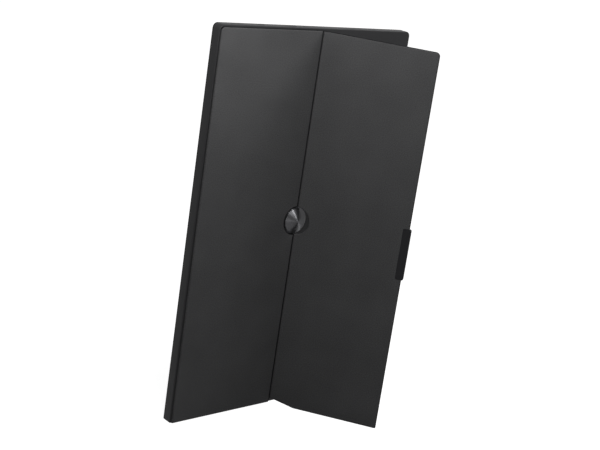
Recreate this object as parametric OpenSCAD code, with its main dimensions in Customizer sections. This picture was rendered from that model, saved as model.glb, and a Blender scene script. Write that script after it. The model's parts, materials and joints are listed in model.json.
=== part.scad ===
// Portable monitor in portrait with a two-panel folding cover.
// Millimetres. Origin: middle of the monitor's bottom edge, on the surface it stands on.
// +Z up along the fold, +Y the way the screen faces, the cover is on the -Y side.

/* [Monitor] */
// Width of the monitor across the fold
monitor_w = 236; // [230:1:246]
// Height of the monitor along the fold
monitor_h = 382; // [376:1:400]
// Thickness of the casing
monitor_t = 11; // [10.6:0.1:12]
// Radius of the two top corners
top_corner_r = 5; // [3:0.5:8]
// Radius of the two bottom corners
bottom_corner_r = 1; // [0.8:0.1:3]
// Thickness of the side walls
wall_t = 1.2; // [1:0.1:1.4]
// Thickness of the back wall
back_t = 1; // [0.8:0.1:1.2]
// Thickness of the front lip
lip_t = 1.2; // [1:0.1:1.4]

/* [Screen] */
// Width of the picture, across the fold
active_w = 193.5; // [190:0.5:195]
// Height of the picture, along the fold
active_h = 344.2; // [340:0.1:346]
// Border between the picture and the casing's left side, seen from the back
border_left = 15.5; // [15:0.5:17]

/* [Cover] */
// Thickness of each cover panel
cover_t = 2.75; // [2.6:0.05:3.2]
// How far the fixed panel stays inside the monitor's side
panel_inset = 0.8; // [0.5:0.1:1.5]
// How far the cover's top stays below the monitor's top edge
panel_drop = 1.8; // [0.5:0.1:3]
// How far the fixed panel stays above the monitor's bottom edge
panel_foot = 0.6; // [0:0.1:1]
// Width of the flap, from the fold to its free edge
flap_w = 112; // [110:1:114]
// Angle that the flap stands out from the monitor's back
flap_angle = 56; // [0:1:150]
// Radius of the fixed panel's top corner
panel_corner_r = 3; // [1:0.5:6]
// Radius of the flap's top corner
flap_corner_r = 4; // [1:0.5:6]
// Thickness of the outer skin
skin_t = 0.75; // [0.6:0.05:0.9]
// Thickness of the inner lining
lining_t = 0.4; // [0.4:0.05:0.5]
// Half the width of the crease
crease_half = 0.9; // [0.8:0.1:1.2]
// Height at the fold of the slanted relief in the flap's bottom edge
relief_h = 5.4; // [1:0.1:8]
// Length of that relief, from the fold
relief_w = 26; // [15:1:40]

/* [Grip tab] */
// Width of the rubber tab
tab_w = 8.2; // [6:0.1:12]
// Height of the tab
tab_h = 51.5; // [30:0.5:70]
// Radius of the tab's corners
tab_r = 1.6; // [1:0.1:3]
// Height of the tab's middle above the bottom edge
tab_z = 183.5; // [120:0.5:260]
// How far the tab reaches past the flap's edge
tab_past = 2; // [1:0.1:3]
// How far the tab stands off the flap's face
tab_proud = 0.25; // [0.1:0.05:0.5]

/* [Disc lock] */
// Diameter of the disc
disc_d = 25.4; // [22:0.1:26]
// Diameter of the round hole around the disc
hole_d = 28; // [27.6:0.1:30]
// Height of the disc's middle above the cover
disc_rise = 3.6; // [2:0.1:5]
// Height of the disc's rim above the cover
disc_rim = 0.3; // [0:0.1:1]
// Height of the disc's centre above the bottom edge
disc_z = 194; // [185:0.5:200]
// Diameter of the stem
stem_d = 9; // [8:0.5:10]
// Running clearance round the stem
stem_play = 0.05; // [0.03:0.01:0.1]

/* [Top edge] */
// Place of the port along the top edge
port_x = -33; // [-60:1:-30]
// Place of the lock slot along the top edge
slot_x = -68; // [-80:1:-60]
// Place of the button along the top edge
button_x = -95; // [-98:1:-92]
// Place of the status light along the top edge
light_x = -86; // [-88:1:-84]
// Width of the port's mouth
port_w = 12.4; // [10:0.1:13]
// Height of the port's mouth
port_h = 2.4; // [2:0.1:2.6]
// Length of the lock slot
slot_l = 7; // [6.5:0.5:8]
// Width of the lock slot
slot_d = 3; // [2.6:0.1:3]
// Length of the button
button_l = 14; // [10:0.5:16]
// Width of the button
button_d = 2.2; // [2:0.1:2.4]
// Travel of the button
button_travel = 0.6; // [0.3:0.1:0.8]

/* [Hidden] */
$fn = 64;
half_w = monitor_w / 2;
back_y = -monitor_t / 2;
front_y = monitor_t / 2;
lip_y = front_y - lip_t;
inner_y = back_y + back_t;
fold_y = back_y - cover_t;
skin_y = fold_y + skin_t;
lining_y = back_y - lining_t;
panel_top = monitor_h - panel_drop;
web_t = 0.4;
tab_leg_t = 0.5;
flap_gap = 0.1;
eps = 0.01;

// Display stack, counted back from the lip
cell_t = 1.3;
films_t = 0.5;
guide_t = 0.9;
reflector_t = 0.25;
plate_t = 0.4;
cell_y = lip_y - cell_t;
films_y = cell_y - films_t;
guide_y = films_y - guide_t;
reflector_y = guide_y - reflector_t;
plate_y = reflector_y - plate_t;
active_x = border_left - half_w;
active_z = (monitor_h - active_h) / 2;
cell_x0 = active_x - 2.5;
cell_x1 = active_x + active_w + 9;
cell_z0 = active_z - 2.5;
cell_z1 = monitor_h - cell_z0;
guide_x1 = active_x + active_w + 3;
frame_x1 = cell_x1 + 1.5;

// Boards and cables
board_front_y = -1.2;
board_back_y = -2.2;
board_x0 = -98;
board_x1 = -18;
board_z0 = 338;
board_z1 = monitor_h - wall_t - 0.8;
board_screw_r = 0.75;
port_y = 0.25;
cable_t = 0.35;
cable_y = plate_y - 0.45;
tail_z = board_z0 - 1;
source_x0 = frame_x1 + 0.7;
source_x1 = source_x0 + 5.6;
source_z0 = 60;
source_z1 = 322;
source_y = films_y - 0.45;

// Fasteners
screw_x = half_w - 7;
screw_zs = [42, 141, 241, 340];
screw_r = 0.95;
head_r = 2.2;
head_floor_y = back_y + 0.6;
post_r = 2.2;

// Rubber feet on the long side away from the port
foot_zs = [60, 322];
foot_l = 60;
foot_y = -0.5;
foot_w = 4;
foot_deep = 0.7;
foot_proud = 0.4;
fit_gap = 0.05;

// Magnets in the cover and the steel strips behind the back wall
magnet_x = half_w - 15.5;
magnet_zs = [92, 290];
magnet_w = 5;
magnet_l = 30;
magnet_t = 1.2;
keeper_t = 0.6;

// Button and its switch
button_proud = 0.3;
button_gap = 0.12;
flange_z = monitor_h - wall_t - 0.7;
flange_t = 0.6;
switch_z = board_z1 - 1.8;
plunger_z = flange_z - button_travel - fit_gap;
port_depth = 9;
light_z = monitor_h - 10;

// Disc lock
disc_r = disc_d / 2;
hole_r = hole_d / 2;
stem_r = stem_d / 2;
hub_t = 0.8;
hub_y = back_y - hub_t;
washer_t = 0.25;
disc_back_y = hub_y - washer_t - stem_play;
disc_front_y = fold_y - disc_rise;
dome_h = disc_rise - disc_rim;
dome_r = (disc_r * disc_r + dome_h * dome_h) / (2 * dome_h);
spigot_r = stem_r - 0.5;
lug_len = 15.6;
lug_w = 3;
lug_y = inner_y + 0.6;
lug_t = 0.9;
socket_r = 9;
socket_flange_r = 14;
socket_body_r = 10.5;
socket_pin_r = 12;
socket_pins = [30, 150, 270];
rivet_x = -35;
rivet_zs = [-8, 0, 8];
rivet_r = 1.2;
bead_r = 0.35;
bead_gap_r = 0.45;

// A flat shape in X and Z, given a thickness from y0 to y1
module slab(y0, y1) {
    translate([0, y1, 0]) rotate([90, 0, 0]) linear_extrude(y1 - y0) children();
}

// A box between two corners
module box(a, b) {
    translate(a) cube(b - a);
}

// A round bar along Y, from y0 to y1
module bar_y(x, z, y0, y1, r) {
    translate([x, y1, z]) rotate([90, 0, 0]) cylinder(h = y1 - y0, r = r);
}

// A rectangle whose four corners have their own radii: bottom left, bottom right, top right, top left
module rounded(x0, z0, x1, z1, radii) {
    centres = [
        [x0 + radii[0], z0 + radii[0]], [x1 - radii[1], z0 + radii[1]],
        [x1 - radii[2], z1 - radii[2]], [x0 + radii[3], z1 - radii[3]]
    ];
    corners = [[x0, z0], [x1, z0], [x1, z1], [x0, z1]];
    difference() {
        translate([x0, z0]) square([x1 - x0, z1 - z0]);
        for (i = [0:3])
            translate([min(corners[i][0], centres[i][0]), min(corners[i][1], centres[i][1])])
                square(radii[i]);
    }
    for (i = [0:3]) translate(centres[i]) circle(radii[i]);
}

// The monitor's outline, drawn in by a margin
module monitor_outline(margin) {
    top = max(top_corner_r - margin, 0.5);
    bottom = max(bottom_corner_r - margin, 0.3);
    rounded(margin - half_w, margin, half_w - margin, monitor_h - margin, [bottom, bottom, top, top]);
}

// The fixed panel's outline, drawn in by a margin on its three free sides and the hole
module panel_outline(margin) {
    top = max(panel_corner_r - margin, 0.5);
    difference() {
        rounded(panel_inset + margin - half_w, panel_foot + margin, -crease_half, panel_top - margin,
                [0.8, 0.1, 0.1, top]);
        translate([0, disc_z]) circle(hole_r + margin);
    }
}

// The flap's outline in its closed place, drawn in by a margin like the fixed panel's
module flap_outline(margin) {
    top = max(flap_corner_r - margin, 0.5);
    difference() {
        rounded(crease_half, margin, flap_w - margin, panel_top - margin,
                [0.1, 0.8, top, 0.1]);
        translate([0, disc_z]) circle(hole_r + margin);
        polygon([
            [-1, -1], [relief_w, -1], [relief_w, margin], [0, relief_h + margin], [-1, relief_h + margin]
        ]);
    }
}

// Places a piece that was drawn with the flap closed
module on_flap() {
    translate([0, fold_y, 0]) rotate([0, 0, -flap_angle]) translate([0, -fold_y, 0]) children();
}

// A slot with round ends and its straight sides along X
module slot_shape(length, width) {
    reach = (length - width) / 2;
    for (side = [-1, 1]) translate([side * reach, 0]) circle(width / 2);
    translate([-reach, -width / 2]) square([2 * reach, width]);
}

module at_screws() {
    for (side = [-1, 1], z = screw_zs) translate([side * screw_x, 0, z]) children();
}

module at_board_screws() {
    for (x = [board_x0 + 4, board_x1 - 4], z = [board_z0 + 6.5, board_z1 - 8])
        translate([x, 0, z]) children();
}

module at_socket_pins() {
    for (a = socket_pins)
        translate([socket_pin_r * cos(a), 0, disc_z + socket_pin_r * sin(a)]) children();
}

// The strip of rubber let into the long side, with a gap all round
module foot_bar(z, gap) {
    box([half_w - foot_deep, foot_y - foot_w / 2 - gap, z - foot_l / 2 - gap],
        [half_w + foot_proud, foot_y + foot_w / 2 + gap, z + foot_l / 2 + gap]);
}

module rear_housing() {
    color([0.10, 0.10, 0.105]) {
        difference() {
            slab(back_y, lip_y) monitor_outline(0);
            slab(inner_y, lip_y + 1) monitor_outline(wall_t);
            bar_y(0, disc_z, back_y - 1, inner_y + 1, socket_r + fit_gap);
            at_screws() {
                bar_y(0, 0, back_y - 1, inner_y + 1, screw_r + 0.15);
                bar_y(0, 0, back_y - 1, head_floor_y, head_r + 0.1);
            }
            translate([port_x, port_y, monitor_h - 2 * wall_t])
                linear_extrude(4 * wall_t) square([port_w + 0.7, port_h + 0.7], center = true);
            translate([button_x, port_y, monitor_h - 2 * wall_t])
                linear_extrude(4 * wall_t) slot_shape(button_l + 2 * button_gap, button_d + 2 * button_gap);
            translate([slot_x, port_y, monitor_h - 2 * wall_t])
                linear_extrude(4 * wall_t) slot_shape(slot_l, slot_d);
            for (z = foot_zs) foot_bar(z, fit_gap);
        }
        at_board_screws() difference() {
            bar_y(0, 0, inner_y - eps, board_back_y, post_r);
            bar_y(0, 0, inner_y, board_back_y + 1, board_screw_r + fit_gap);
        }
        at_socket_pins() bar_y(0, 0, inner_y - eps, inner_y + 0.9, 0.9);
    }
}

module front_bezel() {
    color([0.06, 0.06, 0.065]) {
        difference() {
            slab(lip_y, front_y) monitor_outline(0);
            slab(lip_y - 1, front_y + 1)
                translate([active_x - 0.3, active_z - 0.3]) square([active_w + 0.6, active_h + 0.6]);
            bar_y(light_x, light_z, lip_y - 1, front_y + 1, 1.25);
        }
        difference() {
            slab(lip_y - 1.8, lip_y + eps) difference() {
                monitor_outline(wall_t + 0.2);
                monitor_outline(wall_t + 1.2);
            }
            box([button_x - button_l, lip_y - 3, monitor_h - 6], [port_x + 12, lip_y, monitor_h]);
        }
        at_screws() difference() {
            bar_y(0, 0, inner_y + fit_gap, lip_y + eps, post_r + 0.3);
            bar_y(0, 0, inner_y, 1.5, screw_r + fit_gap);
        }
    }
}

module case_screws() {
    color([0.16, 0.16, 0.17]) at_screws() difference() {
        union() {
            bar_y(0, 0, back_y + fit_gap, head_floor_y, head_r);
            bar_y(0, 0, head_floor_y - eps, 1, screw_r);
        }
        for (turn = [0, 90]) rotate([0, turn, 0])
            box([-1.2, back_y - 1, -0.25], [1.2, back_y + 0.35, 0.25]);
    }
}

module edge_feet() {
    color([0.04, 0.04, 0.04]) for (z = foot_zs) foot_bar(z, 0);
}

module power_button() {
    color([0.12, 0.12, 0.13]) translate([button_x, port_y, 0]) {
        translate([0, 0, flange_z + flange_t - eps])
            linear_extrude(monitor_h + button_proud - flange_z - flange_t + eps)
                slot_shape(button_l, button_d);
        translate([0, 0, flange_z])
            linear_extrude(flange_t) square([button_l + 1.4, button_d + 0.4], center = true);
    }
}

module light_pipe() {
    color([0.85, 0.88, 0.9]) bar_y(light_x, light_z, board_front_y + 0.65, front_y, 1.2);
}

module lcd_cell() {
    color([0.02, 0.02, 0.03]) box([cell_x0, cell_y, cell_z0], [cell_x1, lip_y, cell_z1]);
}

module optical_films() {
    color([0.9, 0.9, 0.92])
        box([cell_x0 + 0.5, films_y, cell_z0 + 0.6], [guide_x1, cell_y, cell_z1 - 0.6]);
}

module light_guide() {
    color([0.8, 0.9, 0.95, 0.6])
        box([cell_x0 + 0.5, guide_y, cell_z0 + 0.6], [guide_x1, films_y, cell_z1 - 0.6]);
}

module reflector_sheet() {
    color([0.95, 0.95, 0.95])
        box([cell_x0 + 0.5, reflector_y, cell_z0 + 0.6], [guide_x1, guide_y, cell_z1 - 0.6]);
}

// Strip behind the light sources, with a tail that leaves the frame
module led_strip() {
    color([0.85, 0.75, 0.3]) {
        box([guide_x1 + 2.6, guide_y, cell_z0 + 4], [guide_x1 + 3, films_y, cell_z1 - 4]);
        box([guide_x1 + 3 - eps, guide_y, tail_z], [frame_x1 + 0.6, guide_y + 0.25, tail_z + 5]);
    }
}

module led_chips() {
    pitch = 9.5;
    count = floor((cell_z1 - cell_z0 - 12) / pitch);
    color([0.95, 0.93, 0.7]) for (i = [0:count])
        translate([guide_x1 + 0.2, guide_y + 0.1, cell_z0 + 5 + i * pitch]) cube([2.4, 0.7, 3]);
}

module panel_frame() {
    color([0.92, 0.92, 0.9]) difference() {
        box([cell_x0 - 1, reflector_y, cell_z0 - 1], [frame_x1, cell_y - 0.15, cell_z1 + 1]);
        box([cell_x0 + 0.4, reflector_y - 1, cell_z0 + 0.5], [guide_x1 + 3.1, cell_y + 1, cell_z1 - 0.5]);
        box([guide_x1 + 2, guide_y - fit_gap, tail_z - 0.5], [frame_x1 + 1, guide_y + 0.4, tail_z + 5.5]);
    }
}

module panel_backplate() {
    color([0.7, 0.71, 0.72])
        box([cell_x0 - 1, plate_y, cell_z0 - 1], [frame_x1, reflector_y, cell_z1 + 1]);
}

module cof_films() {
    pitch = 64;
    color([0.75, 0.5, 0.15]) for (i = [0:3])
        translate([cell_x1 - 2.5, cell_y - 0.15, source_z0 + 20 + i * pitch]) cube([6.5, 0.15, 30]);
}

module source_board() {
    pitch = 24;
    color([0.05, 0.3, 0.15]) {
        box([source_x0, source_y, source_z0], [source_x1, cell_y - 0.15, source_z1]);
        for (i = [0:7])
            translate([source_x0 + 1.2, source_y - 0.5, source_z0 + 40 + i * pitch]) cube([3, 0.5 + eps, 5]);
    }
}

module main_board() {
    color([0.05, 0.28, 0.16]) difference() {
        box([board_x0, board_back_y, board_z0], [board_x1, board_front_y, board_z1]);
        at_board_screws() bar_y(0, 0, board_back_y - 1, board_front_y + 1, board_screw_r + 0.15);
    }
}

module scaler_chip() {
    chip = 14;
    chip_t = 0.9;
    color([0.08, 0.08, 0.08])
        translate([board_x0 + 36, board_back_y - chip_t, board_z0 + chip]) cube([chip, chip_t, chip]);
}

module shield_can() {
    sheet = 0.2;
    a = [board_x1 - 28, board_back_y - 0.95, board_z0 + 8];
    b = a + [22, 0.95, 18];
    color([0.75, 0.76, 0.78]) difference() {
        box(a, b);
        box(a + [sheet, sheet, sheet], b + [-sheet, 1, -sheet]);
    }
}

// Rows of small parts on the board's back face
module board_parts() {
    part_t = 0.7;
    color([0.45, 0.4, 0.3]) for (i = [0:7], j = [0:2])
        translate([board_x0 + 7 + i * 3.4, board_back_y - part_t, board_z0 + 9 + j * 8])
            cube([1.6, part_t, 4]);
}

module status_led() {
    half = 0.8;
    color([0.95, 0.95, 0.9])
        box([light_x - half, board_front_y, light_z - half],
            [light_x + half, board_front_y + 0.6, light_z + half]);
}

module board_screws() {
    color([0.7, 0.7, 0.72]) at_board_screws() {
        bar_y(0, 0, board_front_y, board_front_y + 0.7, 1.8);
        bar_y(0, 0, inner_y + fit_gap, board_front_y + eps, board_screw_r);
    }
}

module port_shell() {
    wall = 0.25;
    color([0.7, 0.7, 0.72]) translate([port_x, port_y, monitor_h - port_depth]) difference() {
        translate([-port_w / 2 - wall, -port_h / 2 - wall, 0])
            cube([port_w + 2 * wall, port_h + 2 * wall, port_depth - 0.1]);
        translate([-port_w / 2, -port_h / 2, 0.6]) cube([port_w, port_h, port_depth]);
    }
}

// Two tongues side by side, one wide and one narrow
module port_tongue() {
    color([0.1, 0.1, 0.1]) translate([port_x, port_y, monitor_h - port_depth + 0.6]) {
        translate([-5.4, -0.4, 0]) cube([6.4, 0.8, 6]);
        translate([2.2, -0.4, 0]) cube([3.2, 0.8, 6]);
    }
}

// Steel plate under the lock slot, on the inside of the top wall
module slot_plate() {
    plate = [slot_l + 8, 3.9, 1];
    color([0.6, 0.6, 0.62]) difference() {
        translate([slot_x - plate[0] / 2, board_front_y + fit_gap, monitor_h - wall_t - plate[2]])
            cube(plate);
        translate([slot_x, port_y, monitor_h - wall_t - 2 * plate[2]])
            linear_extrude(3 * plate[2]) slot_shape(slot_l, slot_d);
    }
}

module tact_switch() {
    color([0.2, 0.2, 0.2]) translate([button_x, port_y, 0]) {
        translate([-2.5, board_front_y - port_y, switch_z - 2.6]) cube([5, 2.4, 2.6]);
        translate([0, 0, switch_z - eps]) cylinder(h = plunger_z - switch_z + eps, r = 0.8);
    }
}

// Flat cable: plug on the board, run behind the module, turn down, plug on the driver board
module panel_cable() {
    plug_x = board_x1 - 14;
    run_z = board_z0 + 9;
    drop_z = source_z1 - 22;
    end_x = source_x0 + 5;
    color([0.85, 0.85, 0.8]) {
        box([plug_x, board_front_y, run_z - 1], [plug_x + 6, cable_y + eps, run_z + 13]);
        box([plug_x, cable_y, run_z], [end_x, cable_y + cable_t, run_z + 12]);
        box([source_x0, cable_y, drop_z], [end_x, cable_y + cable_t, run_z + eps]);
        box([source_x0, cable_y, drop_z], [end_x, source_y, drop_z + 12]);
    }
}

module backlight_cable() {
    plug_x = board_x1 - 6;
    end_x = frame_x1 + 0.6;
    color([0.8, 0.8, 0.2]) {
        box([plug_x, board_front_y, tail_z + 2], [plug_x + 3, cable_y + eps, tail_z + 5]);
        box([plug_x, cable_y, tail_z + 2], [end_x, cable_y + cable_t, tail_z + 5]);
        box([end_x - 0.5, cable_y, tail_z + 2], [end_x, guide_y, tail_z + 5]);
    }
}

module foam_pads() {
    pad = [60, plate_y - inner_y, 8];
    color([0.2, 0.2, 0.2]) for (z = [40, 120, 250, 310], x = [-85, 25])
        translate([x, inner_y, z]) cube(pad);
}

module keeper_plates() {
    color([0.6, 0.6, 0.62]) for (side = [-1, 1], z = magnet_zs)
        translate([side * magnet_x - magnet_w / 2 - 0.5, inner_y, z - magnet_l])
            cube([magnet_w + 1, keeper_t, 2 * magnet_l]);
}

module boss_socket() {
    color([0.62, 0.62, 0.64]) difference() {
        union() {
            bar_y(0, disc_z, back_y, inner_y + eps, socket_r);
            bar_y(0, disc_z, inner_y, inner_y + 0.5, socket_flange_r);
            bar_y(0, disc_z, inner_y, inner_y + 2.55, socket_body_r);
        }
        bar_y(0, disc_z, back_y - 1, inner_y + 1, stem_r + stem_play);
        bar_y(0, disc_z, lug_y - 0.1, lug_y + lug_t + 0.55, lug_len / 2 + 0.4);
        box([-lug_w / 2 - 0.2, back_y - 1, disc_z - lug_len / 2 - 0.3],
            [lug_w / 2 + 0.2, lug_y, disc_z + lug_len / 2 + 0.3]);
        at_socket_pins() bar_y(0, 0, inner_y - 1, inner_y + 2, 1);
    }
}

// Cylinder capped by part of a sphere, with a blind bore for the stem
module lock_disc() {
    color([0.55, 0.56, 0.58]) difference() {
        intersection() {
            bar_y(0, disc_z, disc_front_y - 1, disc_back_y, disc_r);
            translate([0, disc_front_y + dome_r, disc_z]) sphere(r = dome_r, $fn = 128);
        }
        bar_y(0, disc_z, disc_back_y - 3, disc_back_y + 1, spigot_r + 0.02);
    }
}

module lock_stem() {
    color([0.5, 0.5, 0.52]) {
        bar_y(0, disc_z, disc_back_y - 3, disc_back_y + eps, spigot_r);
        bar_y(0, disc_z, disc_back_y, lug_y + lug_t, stem_r);
        intersection() {
            box([-lug_len / 2, lug_y, disc_z - lug_w / 2], [lug_len / 2, lug_y + lug_t, disc_z + lug_w / 2]);
            bar_y(0, disc_z, lug_y - 1, lug_y + lug_t + 1, lug_len / 2);
        }
    }
}

module wave_washer() {
    color([0.6, 0.6, 0.6]) difference() {
        bar_y(0, disc_z, hub_y - washer_t, hub_y, 8);
        bar_y(0, disc_z, hub_y - 2, hub_y + 1, 5.2);
    }
}

// Tray that covers the outer face and wraps the three free sides and the round hole
module panel_skin() {
    color([0.20, 0.20, 0.21]) {
        difference() {
            slab(fold_y, back_y - 0.1) panel_outline(0);
            slab(skin_y, back_y + 1) panel_outline(skin_t);
            box([-2 * crease_half, skin_y, -1], [0, back_y, monitor_h + 1]);
            slab(hub_y - fit_gap, back_y + 1) hub_shape(0.1);
        }
        slab(fold_y, fold_y + web_t) difference() {
            translate([-crease_half - eps, panel_foot]) square([crease_half + eps, panel_top - panel_foot]);
            translate([0, disc_z]) circle(hole_r);
        }
    }
}

// Pockets or magnets in the board, with a gap all round
module magnet_bars(x, gap, y1) {
    for (z = magnet_zs)
        box([x - magnet_w / 2 - gap, lining_y - magnet_t, z - magnet_l / 2 - gap],
            [x + magnet_w / 2 + gap, y1, z + magnet_l / 2 + gap]);
}

module at_rivets() {
    for (z = rivet_zs) translate([rivet_x, 0, disc_z + z]) children();
}

module hub_shape(extra) {
    translate([0, disc_z]) circle(hole_r - 0.5 + extra);
    translate([-45 - extra, disc_z - 13 - extra]) square([45 + extra, 26 + 2 * extra]);
}

module panel_board() {
    color([0.14, 0.14, 0.14]) difference() {
        slab(skin_y, lining_y) panel_outline(skin_t);
        slab(hub_y, lining_y + 1) hub_shape(0.1);
        magnet_bars(-magnet_x, 0.1, lining_y + 1);
        at_rivets() bar_y(0, 0, skin_y - 1, back_y, rivet_r);
    }
}

module panel_lining() {
    color([0.13, 0.13, 0.14]) difference() {
        slab(lining_y, back_y) panel_outline(skin_t);
        slab(lining_y - 1, back_y + 1) hub_shape(0.1);
    }
}

module panel_magnets() {
    color([0.6, 0.6, 0.62]) magnet_bars(-magnet_x, 0, lining_y);
}

module hub_plate() {
    color([0.12, 0.12, 0.12]) difference() {
        slab(hub_y, back_y) hub_shape(0);
        bar_y(0, disc_z, hub_y - 1, back_y + 1, stem_r + stem_play);
        at_rivets() bar_y(0, 0, hub_y - 1, back_y + 1, rivet_r);
    }
}

module hub_rivets() {
    color([0.6, 0.6, 0.62]) at_rivets() bar_y(0, 0, skin_y, back_y - fit_gap, rivet_r - fit_gap);
}

// Round welt in the crease, in two lengths with the round hole between them
module fold_bead() {
    color([0.08, 0.08, 0.08]) for (span = [[panel_foot, disc_z - hole_r], [disc_z + hole_r, panel_top]])
        translate([0, fold_y, span[0]]) cylinder(h = span[1] - span[0], r = bead_r);
}

module tab_outline(extra) {
    x1 = flap_w + tab_past;
    rounded(x1 - tab_w - extra, tab_z - tab_h / 2 - extra, x1 + extra, tab_z + tab_h / 2 + extra,
            [tab_r, tab_r, tab_r, tab_r]);
}

module flap_skin() {
    color([0.20, 0.20, 0.21]) on_flap() {
        difference() {
            slab(fold_y, back_y - flap_gap) flap_outline(0);
            slab(skin_y, back_y + 1) flap_outline(skin_t);
            box([0, skin_y, -1], [2 * crease_half, back_y, monitor_h + 1]);
            slab(fold_y - 1, fold_y + tab_leg_t) tab_outline(fit_gap);
        }
        slab(fold_y, fold_y + web_t) difference() {
            translate([bead_gap_r, relief_h]) square([crease_half - bead_gap_r + eps, panel_top - relief_h]);
            translate([0, disc_z]) circle(hole_r);
        }
    }
}

module flap_board() {
    color([0.14, 0.14, 0.14]) on_flap() difference() {
        slab(skin_y, lining_y) flap_outline(skin_t);
        magnet_bars(magnet_x, 0.1, lining_y + 1);
    }
}

module flap_lining() {
    color([0.13, 0.13, 0.14]) on_flap()
        slab(lining_y, back_y - flap_gap) flap_outline(skin_t);
}

module flap_magnets() {
    color([0.6, 0.6, 0.62]) on_flap() magnet_bars(magnet_x, 0, lining_y);
}

// Leg let into the skin, and a lip past the flap's edge
module grip_tab() {
    color([0.05, 0.05, 0.05]) on_flap() {
        slab(fold_y - tab_proud, fold_y + tab_leg_t) tab_outline(0);
        slab(fold_y + tab_leg_t - eps, back_y - flap_gap) intersection() {
            tab_outline(0);
            translate([flap_w, 0]) square([tab_past, monitor_h]);
        }
    }
}

rear_housing();
front_bezel();
case_screws();
edge_feet();
power_button();
light_pipe();
lcd_cell();
optical_films();
light_guide();
reflector_sheet();
led_strip();
led_chips();
panel_frame();
panel_backplate();
cof_films();
source_board();
main_board();
scaler_chip();
shield_can();
board_parts();
status_led();
board_screws();
port_shell();
port_tongue();
slot_plate();
tact_switch();
panel_cable();
backlight_cable();
foam_pads();
keeper_plates();
boss_socket();
lock_disc();
lock_stem();
wave_washer();
panel_skin();
panel_board();
panel_lining();
panel_magnets();
hub_plate();
hub_rivets();
fold_bead();
flap_skin();
flap_board();
flap_lining();
flap_magnets();
grip_tab();
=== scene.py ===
import json
import math
import bpy
import numpy as np
from mathutils import Matrix, Vector


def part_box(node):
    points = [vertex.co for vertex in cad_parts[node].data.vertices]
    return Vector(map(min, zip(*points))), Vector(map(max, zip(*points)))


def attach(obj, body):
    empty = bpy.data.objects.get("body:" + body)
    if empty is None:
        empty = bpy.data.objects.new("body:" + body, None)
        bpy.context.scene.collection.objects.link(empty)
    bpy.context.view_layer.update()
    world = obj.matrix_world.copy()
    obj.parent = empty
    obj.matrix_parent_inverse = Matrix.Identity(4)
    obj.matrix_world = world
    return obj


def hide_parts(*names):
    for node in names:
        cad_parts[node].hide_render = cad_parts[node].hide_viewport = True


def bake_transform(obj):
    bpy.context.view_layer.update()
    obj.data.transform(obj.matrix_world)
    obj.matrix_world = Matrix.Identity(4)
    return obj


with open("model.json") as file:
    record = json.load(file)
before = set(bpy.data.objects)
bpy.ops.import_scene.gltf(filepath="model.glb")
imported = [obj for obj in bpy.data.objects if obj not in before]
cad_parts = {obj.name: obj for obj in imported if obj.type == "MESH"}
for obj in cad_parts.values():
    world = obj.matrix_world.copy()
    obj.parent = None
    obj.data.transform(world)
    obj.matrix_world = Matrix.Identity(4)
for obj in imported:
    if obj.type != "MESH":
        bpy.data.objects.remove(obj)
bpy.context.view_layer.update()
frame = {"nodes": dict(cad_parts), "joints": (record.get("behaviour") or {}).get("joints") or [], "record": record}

mm = 0.001
jointNamed = {joint["name"]: joint for joint in frame["joints"]}
foldY = jointNamed["flap_fold"]["pos_m"][1]  # the flap turns about the line x = 0, y = foldY
flapAngle = math.radians(-jointNamed["flap_fold"]["range_deg"][0])  # how far the flap stands open at rest
discZ = jointNamed["lock_turn"]["pos_m"][2]
housingLow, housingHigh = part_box("rear_housing")
backY, lipY = housingLow.y, housingHigh.y
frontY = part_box("front_bezel")[1].y
sideX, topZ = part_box("front_bezel")[1].x, housingHigh.z


# Quads between neighbouring rows and columns of a grid, as vertex numbers
def gridQuads(rows, cols, wrapRows=False, wrapCols=True):
    row = np.arange(rows if wrapRows else rows - 1)[:, None]
    col = np.arange(cols if wrapCols else cols - 1)[None, :]
    nextRow, nextCol = (row + 1) % rows, (col + 1) % cols
    corners = [row * cols + col, row * cols + nextCol, nextRow * cols + nextCol, nextRow * cols + col]
    return np.stack(np.broadcast_arrays(*corners), axis=-1).reshape(-1, 4)


# A closed solid from a stack of rings: neighbouring rings are joined by quads, and the first and last
# ring are capped, or joined to each other when closed is true. A negative volume means that the solid
# is inside out, and its faces are then turned round.
def shell(rings, closed=False):
    rings = np.asarray(rings, float)
    count, around = rings.shape[:2]
    points = rings.reshape(-1, 3)
    quads = gridQuads(count, around, wrapRows=closed)
    ring = np.arange(around)
    caps = [] if closed else [ring[::-1], ring + (count - 1) * around]
    fans = [np.stack([np.full(around - 2, cap[0]), cap[1:-1], cap[2:]], 1) for cap in caps]
    triangles = np.concatenate([quads[:, [0, 1, 2]], quads[:, [0, 2, 3]], *fans])
    a, b, c = (points[triangles[:, k]] for k in range(3))
    if np.einsum("ij,ij->", a, np.cross(b, c)) < 0:
        quads, caps = quads[:, ::-1], [cap[::-1] for cap in caps]
    return points, quads.tolist() + [cap.tolist() for cap in caps]


# One mesh object from one or more solids, smooth except at edges sharper than the given angle
def makePiece(name, solids, material, sharpAngle=32):
    points, faces, count = [], [], 0
    for solidPoints, solidFaces in solids:
        faces += [[corner + count for corner in face] for face in solidFaces]
        points.append(solidPoints)
        count += len(solidPoints)
    mesh = bpy.data.meshes.new(name)
    mesh.from_pydata(np.concatenate(points).tolist(), [], faces)
    mesh.polygons.foreach_set("use_smooth", np.ones(len(faces), bool))
    mesh.set_sharp_from_angle(angle=math.radians(sharpAngle))
    mesh.materials.append(material)
    piece = bpy.data.objects.new(name, mesh)
    bpy.context.scene.collection.objects.link(piece)
    return piece


# Puts a piece under its body and hides the CAD nodes it stands for. The material slot is not used.
def settle(piece, body, slot, *nodes):
    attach(piece, body)
    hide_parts(*nodes)


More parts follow.
